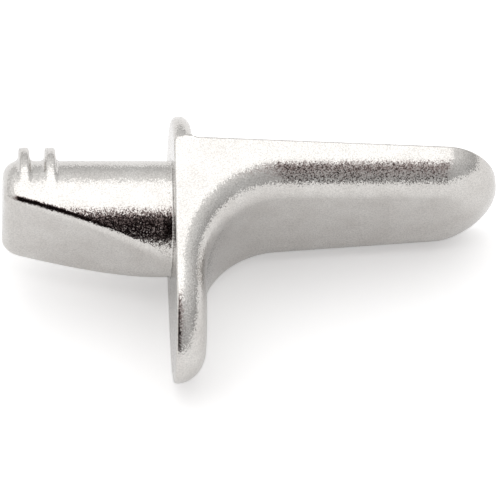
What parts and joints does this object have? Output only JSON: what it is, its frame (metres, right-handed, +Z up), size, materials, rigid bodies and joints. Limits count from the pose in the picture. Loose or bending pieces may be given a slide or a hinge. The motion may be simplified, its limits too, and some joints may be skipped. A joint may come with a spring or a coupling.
{
  "type": "shelf support pin",
  "caption": "Die-cast metal shelf support: a round peg with crush fins, a round-topped flange and a flat tongue that carries the shelf.",
  "frame": {"origin": "on the peg's axis, at the back face of the flange, which stops against the panel", "axes": "+X along the arm, away from the panel; -X along the peg, into its hole; +Z up, out of the shelf face; the piece is symmetric about y = 0"},
  "size_m": [0.0213, 0.0082, 0.0122],
  "materials": {
    "nickel_plate": "satin nickel plate over a die casting, with a fine grain"
  },
  "bodies": {
    "root": {"shelf_pin": "nickel_plate"}
  },
  "joints": []
}
